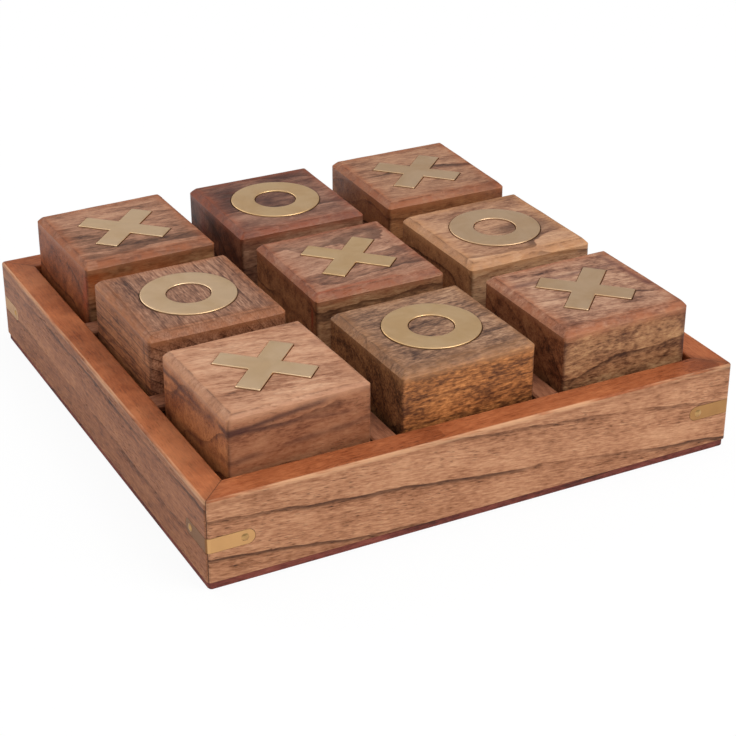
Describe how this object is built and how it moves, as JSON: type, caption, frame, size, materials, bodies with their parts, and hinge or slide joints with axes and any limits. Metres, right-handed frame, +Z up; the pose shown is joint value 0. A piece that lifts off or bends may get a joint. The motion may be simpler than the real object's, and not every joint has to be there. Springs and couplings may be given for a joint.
{
  "type": "tic-tac-toe board",
  "caption": "Square wooden tray with a lattice of cells and loose wooden cubes, each with a flat brass cross or ring let into its top.",
  "frame": {"origin": "middle of the tray's underside", "axes": "+Z up, -Y towards the tray's front rail, +X to its right"},
  "size_m": [0.201, 0.201, 0.0542],
  "materials": {
    "rail_wood": "oiled, red-brown with dark grain lines",
    "base_wood": "stained dark maroon",
    "divider_wood": "oiled",
    "strap_brass": "satin, let in flush",
    "pin_brass": "satin domed heads",
    "pin_steel": "plain",
    "inlay_brass": "pale gold, finely brushed",
    "block_wood_back_left": "oiled, strong figure",
    "block_wood_back_middle": "oiled, strong figure",
    "block_wood_back_right": "oiled, strong figure",
    "block_wood_middle_left": "oiled, strong figure",
    "block_wood_centre": "oiled, strong figure",
    "block_wood_middle_right": "oiled, strong figure",
    "block_wood_front_left": "oiled, strong figure",
    "block_wood_front_middle": "oiled, strong figure",
    "block_wood_front_right": "oiled, strong figure"
  },
  "bodies": {
    "tray": {"base_panel": "base_wood", "rail_front": "rail_wood", "rail_right": "rail_wood", "rail_back": "rail_wood", "rail_left": "rail_wood", "divider_front": "divider_wood", "divider_back": "divider_wood", "divider_left": "divider_wood", "divider_right": "divider_wood", "strap_front_left": "strap_brass", "strap_front_right": "strap_brass", "strap_back_right": "strap_brass", "strap_back_left": "strap_brass", "strap_pins": "pin_brass", "panel_pins": "pin_steel"},
    "cube_back_left": {"block_back_left": "block_wood_back_left", "cross_back_left": "inlay_brass"},
    "cube_back_middle": {"block_back_middle": "block_wood_back_middle", "ring_back_middle": "inlay_brass"},
    "cube_back_right": {"block_back_right": "block_wood_back_right", "cross_back_right": "inlay_brass"},
    "cube_middle_left": {"block_middle_left": "block_wood_middle_left", "ring_middle_left": "inlay_brass"},
    "cube_centre": {"block_centre": "block_wood_centre", "cross_centre": "inlay_brass"},
    "cube_middle_right": {"block_middle_right": "block_wood_middle_right", "ring_middle_right": "inlay_brass"},
    "cube_front_left": {"block_front_left": "block_wood_front_left", "cross_front_left": "inlay_brass"},
    "cube_front_middle": {"block_front_middle": "block_wood_front_middle", "ring_front_middle": "inlay_brass"},
    "cube_front_right": {"block_front_right": "block_wood_front_right", "cross_front_right": "inlay_brass"}
  },
  "joints": [
    {"name": "lift_back_left", "type": "slide", "parent": "tray", "child": "cube_back_left", "axis": [0, 0, 1], "range_m": [0, 0.04]},
    {"name": "lift_back_middle", "type": "slide", "parent": "tray", "child": "cube_back_middle", "axis": [0, 0, 1], "range_m": [0, 0.04]},
    {"name": "lift_back_right", "type": "slide", "parent": "tray", "child": "cube_back_right", "axis": [0, 0, 1], "range_m": [0, 0.04]},
    {"name": "lift_middle_left", "type": "slide", "parent": "tray", "child": "cube_middle_left", "axis": [0, 0, 1], "range_m": [0, 0.04]},
    {"name": "lift_centre", "type": "slide", "parent": "tray", "child": "cube_centre", "axis": [0, 0, 1], "range_m": [0, 0.04]},
    {"name": "lift_middle_right", "type": "slide", "parent": "tray", "child": "cube_middle_right", "axis": [0, 0, 1], "range_m": [0, 0.04]},
    {"name": "lift_front_left", "type": "slide", "parent": "tray", "child": "cube_front_left", "axis": [0, 0, 1], "range_m": [0, 0.04]},
    {"name": "lift_front_middle", "type": "slide", "parent": "tray", "child": "cube_front_middle", "axis": [0, 0, 1], "range_m": [0, 0.04]},
    {"name": "lift_front_right", "type": "slide", "parent": "tray", "child": "cube_front_right", "axis": [0, 0, 1], "range_m": [0, 0.04]}
  ]
}
